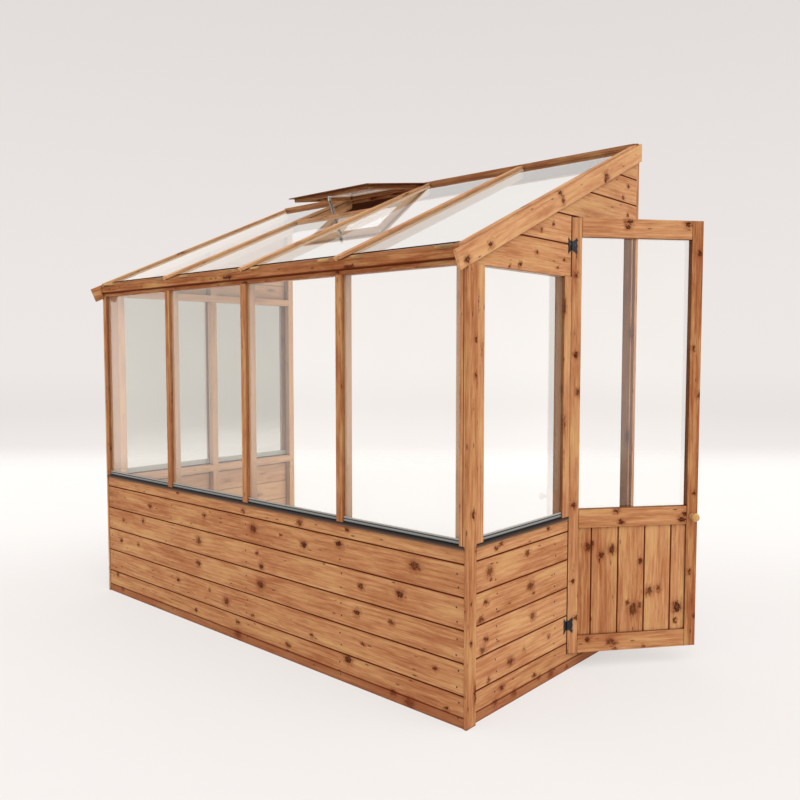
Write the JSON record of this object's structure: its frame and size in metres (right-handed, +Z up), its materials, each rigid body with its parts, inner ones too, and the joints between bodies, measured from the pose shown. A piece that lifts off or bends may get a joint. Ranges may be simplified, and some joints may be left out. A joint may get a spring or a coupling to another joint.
{
  "type": "lean-to greenhouse",
  "caption": "Timber lean-to greenhouse with boarded base, glazed front and ends, sloping glass roof with an opening vent, and a half-glazed hinged end door.",
  "frame": {"origin": "on the floor, on the centre line of the front base rail at the middle of its length", "axes": "+X along the wall towards the door end, +Y towards the wall, +Z up"},
  "size_m": [2.8245, 1.354, 2.2389],
  "materials": {
    "timber": "knotty pine treated with an orange-brown stain",
    "knob_wood": "turned pale pine, sealed",
    "sill_plastic": "satin black extrusion",
    "glass": "clear horticultural glass",
    "hinge_metal": "black japanned steel",
    "stay_metal": "zinc-plated steel"
  },
  "bodies": {
    "house": {"front_base_rail": "timber", "front_sill_rail": "timber", "front_head_rail": "timber", "front_post_1": "timber", "front_post_2": "timber", "front_post_3": "timber", "front_post_4": "timber", "front_post_5": "timber", "front_cladding": "timber", "front_drip_sill": "sill_plastic", "front_pane_1": "glass", "front_pane_2": "glass", "front_pane_3": "glass", "front_pane_4": "glass", "eave_fascia": "timber", "right_end_frame": "timber", "right_rear_post": "timber", "right_lower_cladding": "timber", "right_gable_cladding": "timber", "right_drip_sill": "sill_plastic", "right_pane": "glass", "right_corner_trim": "timber", "right_barge": "timber", "left_end_frame": "timber", "left_lower_cladding": "timber", "left_gable_cladding": "timber", "left_drip_sill": "sill_plastic", "left_pane_1": "glass", "left_pane_2": "glass", "left_corner_trim": "timber", "left_barge": "timber", "wall_rail": "timber", "roof_bar_1": "timber", "roof_bar_2": "timber", "roof_bar_3": "timber", "roof_bar_4": "timber", "roof_bar_5": "timber", "roof_pane_1": "glass", "roof_pane_2": "glass", "roof_pane_3": "glass", "roof_pane_4": "glass", "vent_transom": "timber", "stay_peg": "stay_metal", "hinge_lower_frame_leaf": "hinge_metal", "hinge_upper_frame_leaf": "hinge_metal"},
    "door": {"door_hinge_stile": "timber", "door_lock_stile": "timber", "door_top_rail": "timber", "door_mid_rail": "timber", "door_bottom_rail": "timber", "door_boards": "timber", "door_pane": "glass", "door_knob": "knob_wood", "hinge_lower_door_leaf": "hinge_metal", "hinge_upper_door_leaf": "hinge_metal"},
    "vent": {"vent_frame": "timber", "vent_cover": "timber", "vent_pane": "glass", "vent_stay_bracket": "stay_metal"},
    "stay": {"vent_stay": "stay_metal"}
  },
  "joints": [
    {"name": "door_swing", "type": "hinge", "parent": "house", "child": "door", "pos_m": [1.2223, 0.657, 0], "axis": [0, 0, -1], "range_deg": [-38.4, 71.5]},
    {"name": "vent_hinge", "type": "hinge", "parent": "house", "child": "vent", "pos_m": [0, 1.214, 2.22987], "axis": [1, 0, 0], "range_deg": [-6, 14.5]},
    {"name": "stay_pivot", "type": "hinge", "parent": "vent", "child": "stay", "pos_m": [-0.317, 0.78107, 2.12597], "axis": [1, 0, 0], "range_deg": [-1.5, 50]}
  ]
}
